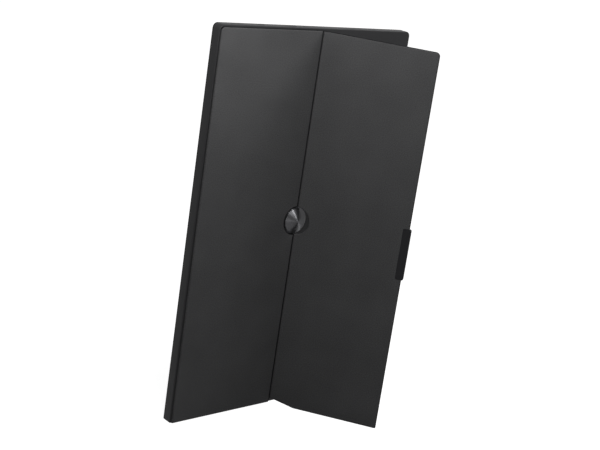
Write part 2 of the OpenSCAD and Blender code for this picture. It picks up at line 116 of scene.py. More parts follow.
# The four corner arcs of a rectangle drawn in by inset, from the bottom left one counter-clockwise.
# Each arc keeps its centre while the inset is less than its radius, and then moves in with the sides.
def cornerArcs(low, high, radii, inset=0.0, steps=8):
    arcs = []
    places = [(low[0], low[1], 1, 1), (high[0], low[1], -1, 1),
              (high[0], high[1], -1, -1), (low[0], high[1], 1, -1)]
    for quarter, ((x, z, inX, inZ), radius) in enumerate(zip(places, radii)):
        radius = max(radius - inset, 0.05 * mm)
        reach = inset + radius
        angle = math.pi + math.pi / 2 * (quarter + np.linspace(0, 1, steps + 1))
        across, up = x + inX * reach + radius * np.cos(angle), z + inZ * reach + radius * np.sin(angle)
        arcs.append(np.stack([across, up], 1))
    return arcs


# A rectangle with rounded corners: the corner arcs joined by evenly divided straight sides
def plateLoop(low, high, radii, inset=0.0, sideSteps=10, cornerSteps=8):
    arcs = cornerArcs(low, high, radii, inset, cornerSteps)
    share = np.linspace(0, 1, sideSteps + 1)[1:-1, None]
    loop = []
    for arc, following in zip(arcs, arcs[1:] + arcs[:1]):
        loop += [arc, arc[-1] + share * (following[0] - arc[-1])]
    return np.concatenate(loop)


# A slot with round ends, long side along the first coordinate
def slotLoop(centre, length, width, inset=0.0, steps=12):
    radius, reach = width / 2, (length - width) / 2
    right = np.linspace(-math.pi / 2, math.pi / 2, steps + 1)
    loop = [[side * (reach + (radius - inset) * np.cos(right)), side * (radius - inset) * np.sin(right)]
            for side in (1, -1)]
    return np.concatenate([np.stack(half, 1) for half in loop]) + centre


# Quarter round of a given radius as pairs of inset and depth: inset r at depth 0 runs to inset 0 at depth r
def quarterRound(radius, steps=6):
    turn = np.linspace(0, math.pi / 2, steps + 1)
    return list(zip(radius * (1 - np.sin(turn)), radius * (1 - np.cos(turn))))


# Rings in a plane of x and z, standing at the height y
def atY(loop, y):
    return np.stack([loop[:, 0], np.broadcast_to(y, len(loop)), loop[:, 1]], 1)


# Rings in a plane of x and y, standing at the height z
def atZ(loop, z):
    return np.stack([loop[:, 0], loop[:, 1], np.broadcast_to(z, len(loop))], 1)


# Rings in a plane of y and z, standing at the place x
def atX(loop, x):
    return np.stack([np.broadcast_to(x, len(loop)), loop[:, 0], loop[:, 1]], 1)


# Points of a circle that face the points of a loop, seen from the circle's centre
def circleFacing(loop, centre, radius):
    away = loop - centre
    return centre + radius * away / np.linalg.norm(away, axis=1)[:, None]


# A circle in even steps
def circleLoop(centre, radius, steps=48):
    turn = np.linspace(0, 2 * math.pi, steps, endpoint=False)
    return np.stack([centre[0] + radius * np.cos(turn), centre[1] + radius * np.sin(turn)], 1)


# Takes the cutter solids out of a piece, and leaves a plain mesh with no modifier on it
def cutAway(piece, solids, sharpAngle=32):
    cutter = makePiece("cutter", solids, piece.data.materials[0])
    cut = piece.modifiers.new("cut", "BOOLEAN")
    cut.operation, cut.solver, cut.object = "DIFFERENCE", "EXACT", cutter
    bpy.context.view_layer.update()
    evaluated = piece.evaluated_get(bpy.context.evaluated_depsgraph_get())
    result = bpy.data.meshes.new_from_object(evaluated)
    piece.modifiers.clear()
    result.polygons.foreach_set("use_smooth", np.ones(len(result.polygons), bool))
    result.set_sharp_from_angle(angle=math.radians(sharpAngle))
    piece.data = result
    bpy.data.objects.remove(cutter)


# A shader node with its inputs and settings given by name
def addNode(tree, kind, settings=None, **inputs):
    node = tree.nodes.new("ShaderNode" + kind)
    for key, value in (settings or {}).items():
        setattr(node, key, value)
    for key, value in inputs.items():
        node.inputs[key].default_value = value
    return node


# A new material with its shader's plain sockets set from a dictionary
def startMaterial(name, look):
    material = bpy.data.materials.new(name)
    material.use_nodes = True
    tree = material.node_tree
    shader = tree.nodes["Principled BSDF"]
    sockets = {"roughness": "Roughness", "metallic": "Metallic", "specular": "Specular IOR Level",
               "sheen": "Sheen Weight", "transmission": "Transmission Weight", "ior": "IOR",
               "anisotropy": "Anisotropic"}
    for key, socket in sockets.items():
        if key in look:
            shader.inputs[socket].default_value = look[key]
    return material, tree, shader


# Where a pattern is laid: object coordinates, or a named attribute of the mesh, stretched by a given scale
def patternSpace(tree, look):
    if "attribute" in look:
        source = addNode(tree, "Attribute", {"attribute_name": look["attribute"]}).outputs["Vector"]
    else:
        source = addNode(tree, "TexCoord").outputs["Object"]
    mapping = addNode(tree, "Mapping")
    mapping.inputs["Scale"].default_value = look.get("stretch", (1, 1, 1))
    tree.links.new(source, mapping.inputs["Vector"])
    return mapping.outputs["Vector"]


# A noise whose features are about the given size, in metres
def noiseAt(tree, space, size, detail=2.0, roughness=0.5):
    noise = addNode(tree, "TexNoise", Scale=1 / size, Detail=detail, Roughness=roughness)
    tree.links.new(space, noise.inputs["Vector"])
    return noise.outputs["Fac"]


# Moves a value between two limits as another goes from low to high
def mapped(tree, value, low, high, toLow, toHigh):
    node = addNode(tree, "MapRange")
    for key, number in zip(("From Min", "From Max", "To Min", "To Max"), (low, high, toLow, toHigh)):
        node.inputs[key].default_value = number
    tree.links.new(value, node.inputs["Value"])
    return node.outputs["Result"]


# A colour that goes from one to another with a factor
def mixedColour(tree, factor, first, second):
    node = addNode(tree, "Mix", {"data_type": "RGBA"})
    tree.links.new(factor, node.inputs[0])
    for socket, colour in ((node.inputs[6], first), (node.inputs[7], second)):
        if isinstance(colour, tuple):
            socket.default_value = (*colour, 1)
        else:
            tree.links.new(colour, socket)
    return node.outputs[2]


# A colour times a factor
def shade(colour, factor):
    return tuple(channel * factor for channel in colour)


# Adds a height to the shader's normal, as relief of the given depth in metres
def relief(tree, shader, height, depth, strength=1.0):
    bump = addNode(tree, "Bump", Strength=strength, Distance=depth)
    tree.links.new(height, bump.inputs["Height"])
    tree.links.new(bump.outputs["Normal"], shader.inputs["Normal"])
    return bump


# Two values or sockets joined by one math operation
def joined(tree, operation, first, second):
    node = addNode(tree, "Math", {"operation": operation})
    for socket, value in zip(node.inputs, (first, second)):
        if isinstance(value, (int, float)):
            socket.default_value = value
        else:
            tree.links.new(value, socket)
    return node.outputs[0]


# Moulded or coated surface: a fine grain, a slow change of tone, and a roughness that follows the latter
def mouldedMaterial(name, look):
    material, tree, shader = startMaterial(name, look)
    space = patternSpace(tree, look)
    grain = noiseAt(tree, space, look.get("grain", 0.4 * mm), 3.0)
    slow = noiseAt(tree, space, look.get("patch", 30 * mm), 2.0)
    tone = joined(tree, "ADD", joined(tree, "MULTIPLY", grain, 0.5), joined(tree, "MULTIPLY", slow, 0.5))
    spread = look.get("mottle", 0.15)
    colour = mixedColour(tree, tone, shade(look["colour"], 1 - spread), shade(look["colour"], 1 + spread))
    tree.links.new(colour, shader.inputs["Base Color"])
    rough = look["roughness"]
    tree.links.new(mapped(tree, slow, 0.3, 0.7, rough - 0.04, rough + 0.05), shader.inputs["Roughness"])
    relief(tree, shader, grain, look.get("relief", 0.02 * mm))
    return material


# Brushed or rolled metal: noise drawn out along one direction, in tone, roughness and relief
def brushedMaterial(name, look):
    material, tree, shader = startMaterial(name, {"metallic": 1.0, **look})
    space = patternSpace(tree, {"stretch": (1, 1, 0.04), **look})
    lines = noiseAt(tree, space, look.get("grain", 0.25 * mm), 4.0, 0.7)
    colour = mixedColour(tree, lines, shade(look["colour"], 0.8), shade(look["colour"], 1.15))
    tree.links.new(colour, shader.inputs["Base Color"])
    rough = look["roughness"]
    tree.links.new(mapped(tree, lines, 0.3, 0.7, rough - 0.06, rough + 0.08), shader.inputs["Roughness"])
    relief(tree, shader, lines, look.get("relief", 0.008 * mm))
    return material


# Matted fibres: two noises drawn out across each other, the higher one showing
def fibreMaterial(name, look):
    material, tree, shader = startMaterial(name, look)
    size = look.get("grain", 0.3 * mm)
    along = noiseAt(tree, patternSpace(tree, {**look, "stretch": (1, 1, 0.15)}), size, 3.0, 0.6)
    across = noiseAt(tree, patternSpace(tree, {**look, "stretch": (0.15, 0.15, 1)}), size, 3.0, 0.6)
    fibres = joined(tree, "MAXIMUM", along, across)
    colour = mixedColour(tree, fibres, shade(look["colour"], 0.55), shade(look["colour"], 1.35))
    tree.links.new(colour, shader.inputs["Base Color"])
    relief(tree, shader, fibres, look.get("relief", 0.05 * mm))
    return material


# Clear or glossy sheet: a faint unevenness of tone and a long shallow waviness
def sheetMaterial(name, look):
    material, tree, shader = startMaterial(name, look)
    space = patternSpace(tree, look)
    waves = noiseAt(tree, space, look.get("patch", 12 * mm), 1.0)
    colour = mixedColour(tree, waves, shade(look["colour"], 0.92), shade(look["colour"], 1.04))
    tree.links.new(colour, shader.inputs["Base Color"])
    relief(tree, shader, waves, look.get("relief", 0.02 * mm))
    return material


# Circuit board: solder mask over copper tracks, which are the mortar lines of a brick pattern
def boardMaterial(name, look):
    material, tree, shader = startMaterial(name, look)
    space = patternSpace(tree, look)
    turned = addNode(tree, "Mapping")
    turned.inputs["Rotation"].default_value = (math.pi / 2, 0, 0)
    tree.links.new(space, turned.inputs["Vector"])
    tracks = addNode(tree, "TexBrick", Scale=1.0)
    for key, number in (("Brick Width", 3.1 * mm), ("Row Height", 0.8 * mm), ("Mortar Size", 0.12 * mm)):
        tracks.inputs[key].default_value = number
    tree.links.new(turned.outputs["Vector"], tracks.inputs["Vector"])
    colour = mixedColour(tree, tracks.outputs["Fac"], look["colour"], look["track"])
    tree.links.new(colour, shader.inputs["Base Color"])
    relief(tree, shader, tracks.outputs["Fac"], 0.03 * mm)
    return material


# Cover skin: soft-touch coating with a very fine pebble grain and a slow unevenness. Where the mesh
# says so, it is darker, quite matt and without specular: partly the dark paint on the cut edges of such
# covers, partly painted shade in the gap round the cover, in the crease and in the hole's gap on the left.
# The pattern reads the flat place of each point, so it doesn't move when the cover folds.
def skinMaterial(name, look):
    material, tree, shader = startMaterial(name, look)
    space = patternSpace(tree, look)
    pebbles = addNode(tree, "TexVoronoi", {"feature": "SMOOTH_F1"}, Scale=1 / look["pebble"], Smoothness=0.6)
    tree.links.new(space, pebbles.inputs["Vector"])
    speckle = noiseAt(tree, space, look["speckle"], 3.0, 0.65)
    slow = noiseAt(tree, space, look["patch"], 2.0)
    tone = joined(tree, "ADD", joined(tree, "MULTIPLY", speckle, 0.8), joined(tree, "MULTIPLY", slow, 0.2))
    base = mixedColour(tree, mapped(tree, tone, 0.3, 0.7, 0, 1), look["dark"], look["light"])
    # share of edge paint and painted shade: towards the dark edge colour, rougher and without specular
    edgePaintAndShade = addNode(tree, "Attribute", {"attribute_name": "edgePaintAndShade"}).outputs["Fac"]
    tree.links.new(mixedColour(tree, edgePaintAndShade, base, look["edge"]), shader.inputs["Base Color"])
    rough = mapped(tree, edgePaintAndShade, 0, 1, look["roughness"], look["roughness"] + 0.2)
    tree.links.new(rough, shader.inputs["Roughness"])
    tree.links.new(mapped(tree, edgePaintAndShade, 0, 1, look["specular"], 0), shader.inputs["Specular IOR Level"])
    height = joined(tree, "ADD", pebbles.outputs["Distance"], joined(tree, "MULTIPLY", speckle, 0.6))
    relief(tree, shader, height, look["relief"], 0.6)
    return material


# Spun metal: tone and relief are a noise of the distance from the axis alone, so it draws fine rings,
# and the highlight is stretched across them
def spunMaterial(name, look):
    material, tree, shader = startMaterial(name, {"metallic": 1.0, **look})
    source = addNode(tree, "TexCoord").outputs["Object"]
    flat = addNode(tree, "Mapping")
    flat.inputs["Location"].default_value = (0, 0, -discZ)
    flat.inputs["Scale"].default_value = (1, 0, 1)
    tree.links.new(source, flat.inputs["Vector"])
    distance = addNode(tree, "VectorMath", {"operation": "LENGTH"})
    tree.links.new(flat.outputs["Vector"], distance.inputs[0])
    rings = addNode(tree, "TexNoise", {"noise_dimensions": "1D"}, Scale=1 / look["ring"], Detail=4.0,
                    Roughness=0.7)
    tree.links.new(distance.outputs["Value"], rings.inputs["W"])
    colour = mixedColour(tree, rings.outputs["Fac"], shade(look["colour"], 0.75), shade(look["colour"], 1.2))
    tree.links.new(colour, shader.inputs["Base Color"])
    rough = look["roughness"]
    tree.links.new(mapped(tree, rings.outputs["Fac"], 0.3, 0.7, rough - 0.05, rough + 0.07),
                   shader.inputs["Roughness"])
    relief(tree, shader, rings.outputs["Fac"], look["relief"], 0.5)
    tangent = addNode(tree, "Tangent", {"direction_type": "RADIAL", "axis": "Y"})
    shader.inputs["Anisotropic Rotation"].default_value = 0.25
    tree.links.new(tangent.outputs["Tangent"], shader.inputs["Tangent"])
    return material


# Switched-off screen: near black, with a fine anti-glare sparkle and a faint, slow unevenness of tone
def screenMaterial(name, look):
    material, tree, shader = startMaterial(name, look)
    space = patternSpace(tree, look)
    sparkle = noiseAt(tree, space, 0.12 * mm, 2.0, 0.7)
    picture = noiseAt(tree, space, 60 * mm, 1.0)
    colour = mixedColour(tree, picture, shade(look["colour"], 0.8), shade(look["colour"], 1.2))
    tree.links.new(colour, shader.inputs["Base Color"])
    tree.links.new(mapped(tree, sparkle, 0.3, 0.7, look["roughness"] - 0.05, look["roughness"] + 0.08),
                   shader.inputs["Roughness"])
    relief(tree, shader, sparkle, 0.004 * mm, 0.4)
    return material


finishes = {
    "casing_plastic": (mouldedMaterial, {"colour": (0.0155, 0.0155, 0.0165), "roughness": 0.50,
                                         "specular": 0.12, "grain": 0.25 * mm, "relief": 0.012 * mm}),
    "bezel_plastic": (mouldedMaterial, {"colour": (0.006, 0.006, 0.0065), "roughness": 0.5, "specular": 0.08,
                                        "grain": 0.3 * mm, "relief": 0.015 * mm}),
    # the skin's edge colour serves for its dark edge paint and for painted shade in gaps, crease and hole
    "cover_skin": (skinMaterial, {"dark": (0.025, 0.025, 0.0258), "light": (0.057, 0.057, 0.058),
                                  "edge": (0.009, 0.009, 0.0095), "roughness": 0.6, "specular": 0.06,
                                  "pebble": 0.35 * mm, "speckle": 0.9 * mm, "patch": 45 * mm,
                                  "relief": 0.02 * mm, "attribute": "flatPlace"}),
    "lining": (fibreMaterial, {"colour": (0.020, 0.020, 0.022), "roughness": 0.95, "sheen": 0.15,
                               "specular": 0.15}),
    "stiffener": (fibreMaterial, {"colour": (0.030, 0.030, 0.031), "roughness": 0.85, "grain": 0.5 * mm}),
    "tab_rubber": (mouldedMaterial, {"colour": (0.008, 0.008, 0.009), "roughness": 0.6, "specular": 0.1,
                                     "grain": 0.5 * mm, "relief": 0.02 * mm}),
    "foot_rubber": (mouldedMaterial, {"colour": (0.010, 0.010, 0.010), "roughness": 0.7, "specular": 0.3,
                                      "grain": 0.3 * mm, "relief": 0.03 * mm}),
    "disc_metal": (spunMaterial, {"colour": (0.062, 0.062, 0.065), "roughness": 0.42, "anisotropy": 0.95,
                                  "ring": 0.18 * mm, "relief": 0.006 * mm}),
    "bare_steel": (brushedMaterial, {"colour": (0.50, 0.50, 0.52), "roughness": 0.34}),
    "dark_steel": (brushedMaterial, {"colour": (0.05, 0.05, 0.055), "roughness": 0.42}),
    "magnet": (brushedMaterial, {"colour": (0.55, 0.55, 0.56), "roughness": 0.22, "grain": 0.8 * mm}),
    "module_metal": (brushedMaterial, {"colour": (0.60, 0.61, 0.62), "roughness": 0.38, "grain": 0.6 * mm}),
    "screen_glass": (screenMaterial, {"colour": (0.008, 0.008, 0.010), "roughness": 0.30, "specular": 0.5}),
    "film": (sheetMaterial, {"colour": (0.85, 0.85, 0.87), "roughness": 0.35}),
    "acrylic": (sheetMaterial, {"colour": (0.75, 0.80, 0.82), "roughness": 0.05, "transmission": 0.8,
                                "ior": 1.49}),
    "white_plastic": (mouldedMaterial, {"colour": (0.85, 0.85, 0.83), "roughness": 0.55, "mottle": 0.05}),
    "flex_amber": (sheetMaterial, {"colour": (0.50, 0.28, 0.06), "roughness": 0.3, "patch": 3 * mm}),
    "board_green": (boardMaterial, {"colour": (0.02, 0.10, 0.05), "track": (0.05, 0.20, 0.10),
                                    "roughness": 0.35}),
    "chip_black": (mouldedMaterial, {"colour": (0.015, 0.015, 0.016), "roughness": 0.6, "grain": 0.1 * mm}),
    "small_parts": (mouldedMaterial, {"colour": (0.25, 0.20, 0.14), "roughness": 0.5, "mottle": 0.3,
                                      "patch": 4 * mm}),
    "led_yellow": (sheetMaterial, {"colour": (0.85, 0.80, 0.45), "roughness": 0.3, "patch": 1 * mm}),
    "ribbon": (sheetMaterial, {"colour": (0.75, 0.75, 0.70), "roughness": 0.4, "stretch": (1, 1, 12)}),
    "foam": (fibreMaterial, {"colour": (0.030, 0.030, 0.030), "roughness": 1.0, "grain": 0.8 * mm,
                             "relief": 0.2 * mm}),
    "light_pipe": (sheetMaterial, {"colour": (0.75, 0.78, 0.80), "roughness": 0.15, "transmission": 0.6}),
}
finish = {slot: make(slot, look) for slot, (make, look) in finishes.items()}
for part in frame["record"]["subparts"]:
    node = frame["nodes"][part["node"]]
    node.data.materials.clear()
    if part["material_slot"] == "cover_skin":  # replaced below, and its pattern needs the new mesh
        node.data.materials.append(finish["casing_plastic"])
    else:
        node.data.materials.append(finish[part["material_slot"]])
print("materials made:", len(finish))

cover = {
    "left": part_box("panel_skin")[0].x,
    "right": 112 * mm,  # free edge of the flap, when it lies flat
    "top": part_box("panel_skin")[1].z,
    "foot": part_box("panel_skin")[0].z,  # the fixed panel stands a little above the monitor's bottom
    "radii": (0.8 * mm, 0.8 * mm, 4 * mm, 3 * mm),
    "edgeRound": 1.2 * mm,
    # the other sides' share of edge paint and painted shade, against the top and the flap's free edge
    "sideEdgePaintAndShade": 0.5,  # dark edging elsewhere, as a share of that at the top and the flap's free edge
    "underRound": 0.45 * mm,  # the rim's other edge, so that a dark gap runs round the cover
    "skin": 0.75 * mm,
    "depth": backY - foldY - 0.1 * mm,  # from the outer face to the rim on the monitor's back
    "hubDepth": 1.9 * mm,  # the hole's rim on the left stops above the steel hub plate
    "hole": 14 * mm,
    "holeRound": 0.35 * mm,
    "crease": 1.2 * mm,  # half the width of the strip that bends
    "creaseSkin": 1.35 * mm,  # inner face of the skin in the crease, under the pressed groove
    "creaseRim": 1.5 * mm,
    "grooveDepth": 0.95 * mm,
    "grooveHalf": 0.5 * mm,
    "reliefHeight": 5.4 * mm,
    "reliefWidth": 26 * mm,
}
creaseColumns = np.linspace(-1.6, 1.6, 17) * mm
holeCentre = np.array([0, discZ])


# Goes from 0 to 1 as 3v^2 - 2v^3, with no slope at either end
def smoothStep(value):
    value = np.clip(value, 0, 1)
    return value * value * (3 - 2 * value)


# Height of the bottom edge: the fixed panel's foot, and right of the fold the flap's slanted relief,
# a straight line from the fold down to nothing
def reliefRise(u):
    return np.where(u > 0, cover["reliefHeight"] * np.clip(1 - u / cover["reliefWidth"], 0, 1), cover["foot"])


# Evenly spaced values strictly between two ends
def between(first, last, count):
    return np.linspace(first, last, count + 2)[1:-1]


# The whole cover's outline laid out flat, drawn in by inset. u runs across the fold, and the fold is at
# u = 0, where columns stand close together and keep their u at every inset.
def coverLoop(inset):
    arcs = cornerArcs((cover["left"], 0), (cover["right"], cover["top"]), cover["radii"], inset)
    arcs[0] = arcs[0] + [0, cover["foot"]]
    bottom = np.concatenate([between(arcs[0][-1, 0], creaseColumns[0], 8), creaseColumns,
                             between(creaseColumns[-1], cover["reliefWidth"], 5), [cover["reliefWidth"]],
                             between(cover["reliefWidth"], arcs[1][0, 0], 8)])
    top = np.concatenate([between(arcs[2][-1, 0], creaseColumns[-1], 10), creaseColumns[::-1],
                          between(creaseColumns[0], arcs[3][0, 0], 8)])
    right = between(arcs[1][-1, 1], arcs[2][0, 1], 12)
    left = between(arcs[3][-1, 1], arcs[0][0, 1], 12)
    sides = [np.stack([bottom, inset + reliefRise(bottom)], 1),
             np.stack([np.full(12, cover["right"] - inset), right], 1),
             np.stack([top, np.full(len(top), cover["top"] - inset)], 1),
             np.stack([np.full(12, cover["left"] + inset), left], 1)]
    return np.concatenate([piece for pair in zip(arcs, sides) for piece in pair])


# The round hole's outline, point for point with coverLoop. Crease columns keep their u. The other points
# keep their order: their angle from straight down is squeezed into what the crease columns leave.
def holeLoop(radius):
    outer = coverLoop(0.0)
    away = outer - holeCentre
    side, angle = np.sign(away[:, 0]), np.arctan2(np.abs(away[:, 0]), -away[:, 1])
    edge = creaseColumns[-1]
    outerLow, outerHigh = math.atan2(edge, discZ), math.pi - math.atan2(edge, cover["top"] - discZ)
    innerLow = math.asin(edge / radius)
    share = (angle - outerLow) / (outerHigh - outerLow)
    angle = innerLow + share * (math.pi - 2 * innerLow)
    loop = np.stack([side * radius * np.sin(angle), discZ - radius * np.cos(angle)], 1)
    inCrease = np.abs(outer[:, 0]) < edge + 0.01 * mm
    u = outer[inCrease, 0]
    rise = np.sqrt(radius ** 2 - u ** 2)
    loop[inCrease] = np.stack([u, discZ + np.where(away[inCrease, 1] > 0, rise, -rise)], 1)
    return loop


# Folds a flat place into space: a point turns about the fold by a share of the flap's angle, which goes
# smoothly from none left of the crease strip to all right of it
def foldOut(u, depth, z):
    turn = flapAngle * smoothStep((u + cover["crease"]) / (2 * cover["crease"]))
    return np.stack([u * np.cos(turn) + depth * np.sin(turn),
                     foldY - u * np.sin(turn) + depth * np.cos(turn), z], -1)


# Places rings that were drawn with the flap closed: a turn about the fold by the flap's whole angle
def onFlap(loop, depth):
    u = loop[:, 0]
    return np.stack([u * math.cos(flapAngle) + depth * math.sin(flapAngle),
                     foldY - u * math.sin(flapAngle) + depth * math.cos(flapAngle), loop[:, 1]], 1)


# Depth of the rim: full away from the crease, and only just more than the skin in it
def rimDepth(u, full):
    return cover["creaseRim"] + (full - cover["creaseRim"]) * smoothStep((np.abs(u) - 0.9 * mm) / (0.7 * mm))


# The cover's skin over both panels, in one closed ring of loops: out from the hole over the outer face, round
# the edge by a quarter circle, back along the inner face and up through the hole. The groove in the crease is
# depth = grooveDepth * exp(-(u / grooveHalf)^2). It is drawn flat and then folded out.
def makeCoverSkin():
    rings = []  # each one: flat loop, depth, how much of it is edging

    # each ring's share of edge paint and painted shade; the crease groove is all painted shade
    def addRing(loop, depth, edgePaintAndShade=0.0, groove=1.0):
        dip = np.exp(-(loop[:, 0] / cover["grooveHalf"]) ** 2)
        rings.append((loop, depth + groove * cover["grooveDepth"] * dip, np.maximum(edgePaintAndShade, groove * dip)))

    innerFace, outerFace = holeLoop(cover["hole"] + 1.2 * mm), coverLoop(cover["edgeRound"] + 0.6 * mm)
    for share in np.linspace(0, 1, 4):
        addRing(innerFace + share * (outerFace - innerFace), 0)
    for inset, depth in quarterRound(cover["edgeRound"]):
        loop = coverLoop(inset)
        rim = rimDepth(loop[:, 0], cover["depth"]) / cover["depth"]
        # outer rounding: edge paint and painted shade, early and full along the top and the free edge
        dark = (loop[:, 1] > cover["top"] - 2 * mm) | (loop[:, 0] > cover["right"] - 2 * mm)
        start, most = np.where(dark, 0.2, 0.75), np.where(dark, 1, cover["sideEdgePaintAndShade"])
        addRing(loop, depth * rim, most * smoothStep((depth / cover["edgeRound"] - start) * 4))
    # undercut and rim: edge paint and painted shade of the gap on the monitor's back, full at the top
    under = [(inset, cover["depth"] - depth) for inset, depth in quarterRound(cover["underRound"], 5)[::-1]]
    for inset, depth in under + [(cover["skin"] + 0.1 * mm, cover["depth"])]:
        loop = coverLoop(inset)
        most = np.where(loop[:, 1] > cover["top"] - 2 * mm, 1, cover["sideEdgePaintAndShade"])
        addRing(loop, depth * rimDepth(loop[:, 0], cover["depth"]) / cover["depth"], most, 0)
    innerEdge, innerHole = coverLoop(cover["skin"] + 0.1 * mm), holeLoop(cover["hole"] + cover["skin"])
    for share in np.linspace(0, 1, 3):
        loop = innerEdge + share * (innerHole - innerEdge)
        crease = np.exp(-(loop[:, 0] / (2 * cover["grooveHalf"])) ** 2)
        addRing(loop, cover["skin"] + (cover["creaseSkin"] - cover["skin"]) * crease, 0, 0)
    for grow, lift in [(cover["skin"], 0), (0.2 * mm, 0), (0, 0.2 * mm)]:
        loop = holeLoop(cover["hole"] + grow)
        full = np.where(loop[:, 0] < 0, cover["hubDepth"], cover["depth"])
        addRing(loop, rimDepth(loop[:, 0], full) - lift, 0, 0)
    # hole's lip: painted shadow of the gap round the disc on the left half; the flap's half stays plain
    for inset, depth in quarterRound(cover["holeRound"], 4)[::-1]:
        loop = holeLoop(cover["hole"] + inset)
        addRing(loop, depth, np.where(loop[:, 0] < 0, 1, 0))
    flat = np.array([np.stack([loop[:, 0], np.broadcast_to(depth, len(loop)), loop[:, 1]], 1)
                     for loop, depth, _ in rings])
    folded = foldOut(flat[..., 0], flat[..., 1], flat[..., 2])
    piece = makePiece("coverSkin", [shell(folded, closed=True)], finish["cover_skin"], 40)
    place = piece.data.attributes.new("flatPlace", "FLOAT_VECTOR", "POINT")
    place.data.foreach_set("vector", flat.reshape(-1))
    # each point's share of edge paint and painted shade, for the skin's material
    edgePaintAndShade = piece.data.attributes.new("edgePaintAndShade", "FLOAT", "POINT")
    edgePaintAndShade.data.foreach_set("value", np.concatenate([ring[2] for ring in rings]))
    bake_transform(piece)
    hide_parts("panel_skin", "flap_skin", "fold_bead")


makeCoverSkin()
print("cover skin made")

lining = {
    "left": 0.9 * mm,
    "right": cover["right"] - cover["skin"],
    "bottom": cover["skin"],
    "top": cover["top"] - cover["skin"],
    "hole": cover["hole"] + cover["skin"],
    "radii": (0.1 * mm, 0.3 * mm, 3.2 * mm, 0.1 * mm),
    "front": cover["depth"] - 0.3 * mm,
    "face": cover["depth"],
    "press": 3 * mm,  # distance of the pressed line from the edge
    "pressDepth": 0.12 * mm,
}


# The flap lining's outline, drawn in by inset: the fold side runs up to the round hole, follows it round
# and goes on, and the bottom side has the skin's slanted relief
def liningLoop(inset):
    left, hole = lining["left"] + inset, lining["hole"] + inset
    low, high = (lining["left"], lining["bottom"]), (lining["right"], lining["top"])
    arcs = cornerArcs(low, high, lining["radii"], inset, 6)
    notch = math.asin(left / hole)
    turn = np.linspace(notch, math.pi - notch, 33)
    rise = hole * math.cos(notch)
    side = np.concatenate([between(arcs[3][-1, 1], discZ + rise, 10), discZ + hole * np.cos(turn),
                           between(discZ - rise, arcs[0][0, 1] + cover["reliefHeight"], 10)])
    across = np.concatenate([np.full(10, left), hole * np.sin(turn), np.full(10, left)])
    slope = between(arcs[0][-1, 0], cover["reliefWidth"], 4)
    floor = np.concatenate([slope, [cover["reliefWidth"]], between(cover["reliefWidth"], arcs[1][0, 0], 8)])
    arcs[0] = arcs[0] + [0, cover["reliefHeight"]]
    free, top = between(arcs[1][-1, 1], arcs[2][0, 1], 12), between(arcs[2][-1, 0], arcs[3][0, 0], 10)
    return np.concatenate([arcs[0], np.stack([floor, lining["bottom"] + inset + reliefRise(floor)], 1),
                           arcs[1], np.stack([np.full(12, lining["right"] - inset), free], 1),
                           arcs[2], np.stack([top, np.full(10, lining["top"] - inset)], 1),
                           arcs[3], np.stack([across, side], 1)])


# The flap's lining: its outline drawn in step by step, with a shallow pressed line near the edge
def makeFlapLining():
    face, press, dip = lining["face"], lining["press"], lining["pressDepth"]
    profile = [(0, lining["front"]), (0, face - 0.12 * mm), (0.04 * mm, face - 0.04 * mm), (0.12 * mm, face),
               (press - 0.5 * mm, face), (press, face - dip), (press + 0.3 * mm, face - dip),
               (press + 0.8 * mm, face)]
    rings = [onFlap(liningLoop(inset), depth) for inset, depth in profile]
    piece = makePiece("flapLining", [shell(rings)], finish["lining"])
    settle(piece, "flap", "lining", "flap_lining")


makeFlapLining()
print("flap lining made")

housing = {
    "low": (-sideX, 0), "high": (sideX, topZ),
    "radii": (1 * mm, 1 * mm, 5 * mm, 5 * mm),
    "edgeRound": 1.5 * mm,
    "wall": 1.2 * mm,
    "inner": backY + 1 * mm,
    "seam": 0.22 * mm,  # half of the fine groove between housing and bezel
    "boss": 9.05 * mm,
    "screwX": sideX - 7 * mm, "screwZ": (42 * mm, 141 * mm, 241 * mm, 340 * mm),
    "portY": 0.25 * mm,
    "portHalf": np.array([6.55, 1.55]) * mm,  # half the hole for the port shell
    "buttonHole": (14.24 * mm, 2.44 * mm),
    "slot": (7 * mm, 3 * mm),
    "footZ": (60 * mm, 322 * mm), "footHalf": 30 * mm,
}
portX = (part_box("port_shell")[0].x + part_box("port_shell")[1].x) / 2
slotX = (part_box("slot_plate")[0].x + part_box("slot_plate")[1].x) / 2
buttonLow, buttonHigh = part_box("power_button")
buttonX = (buttonLow.x + buttonHigh.x) / 2


# Outline of the monitor, drawn in by inset
def housingLoop(inset):
    return plateLoop(housing["low"], housing["high"], housing["radii"], inset, 14)


# Outline for the rounded back edge, which is rounder at the sides than along the bottom and the top
def backLoop(inset):
    loop = housingLoop(inset)
    loop[:, 1] -= 0.7 * inset * np.clip(1 - loop[:, 1] / (20 * mm), 0, 1)
    loop[:, 1] += 0.6 * inset * np.clip(1 - (topZ - loop[:, 1]) / (12 * mm), 0, 1)
    return loop


# Four screws down each long side
def screwPlaces():
    return [(side * housing["screwX"], z) for side in (-1, 1) for z in housing["screwZ"]]


# A solid with the same number of points in every ring
def prism(rings):
    return shell(np.array(rings))


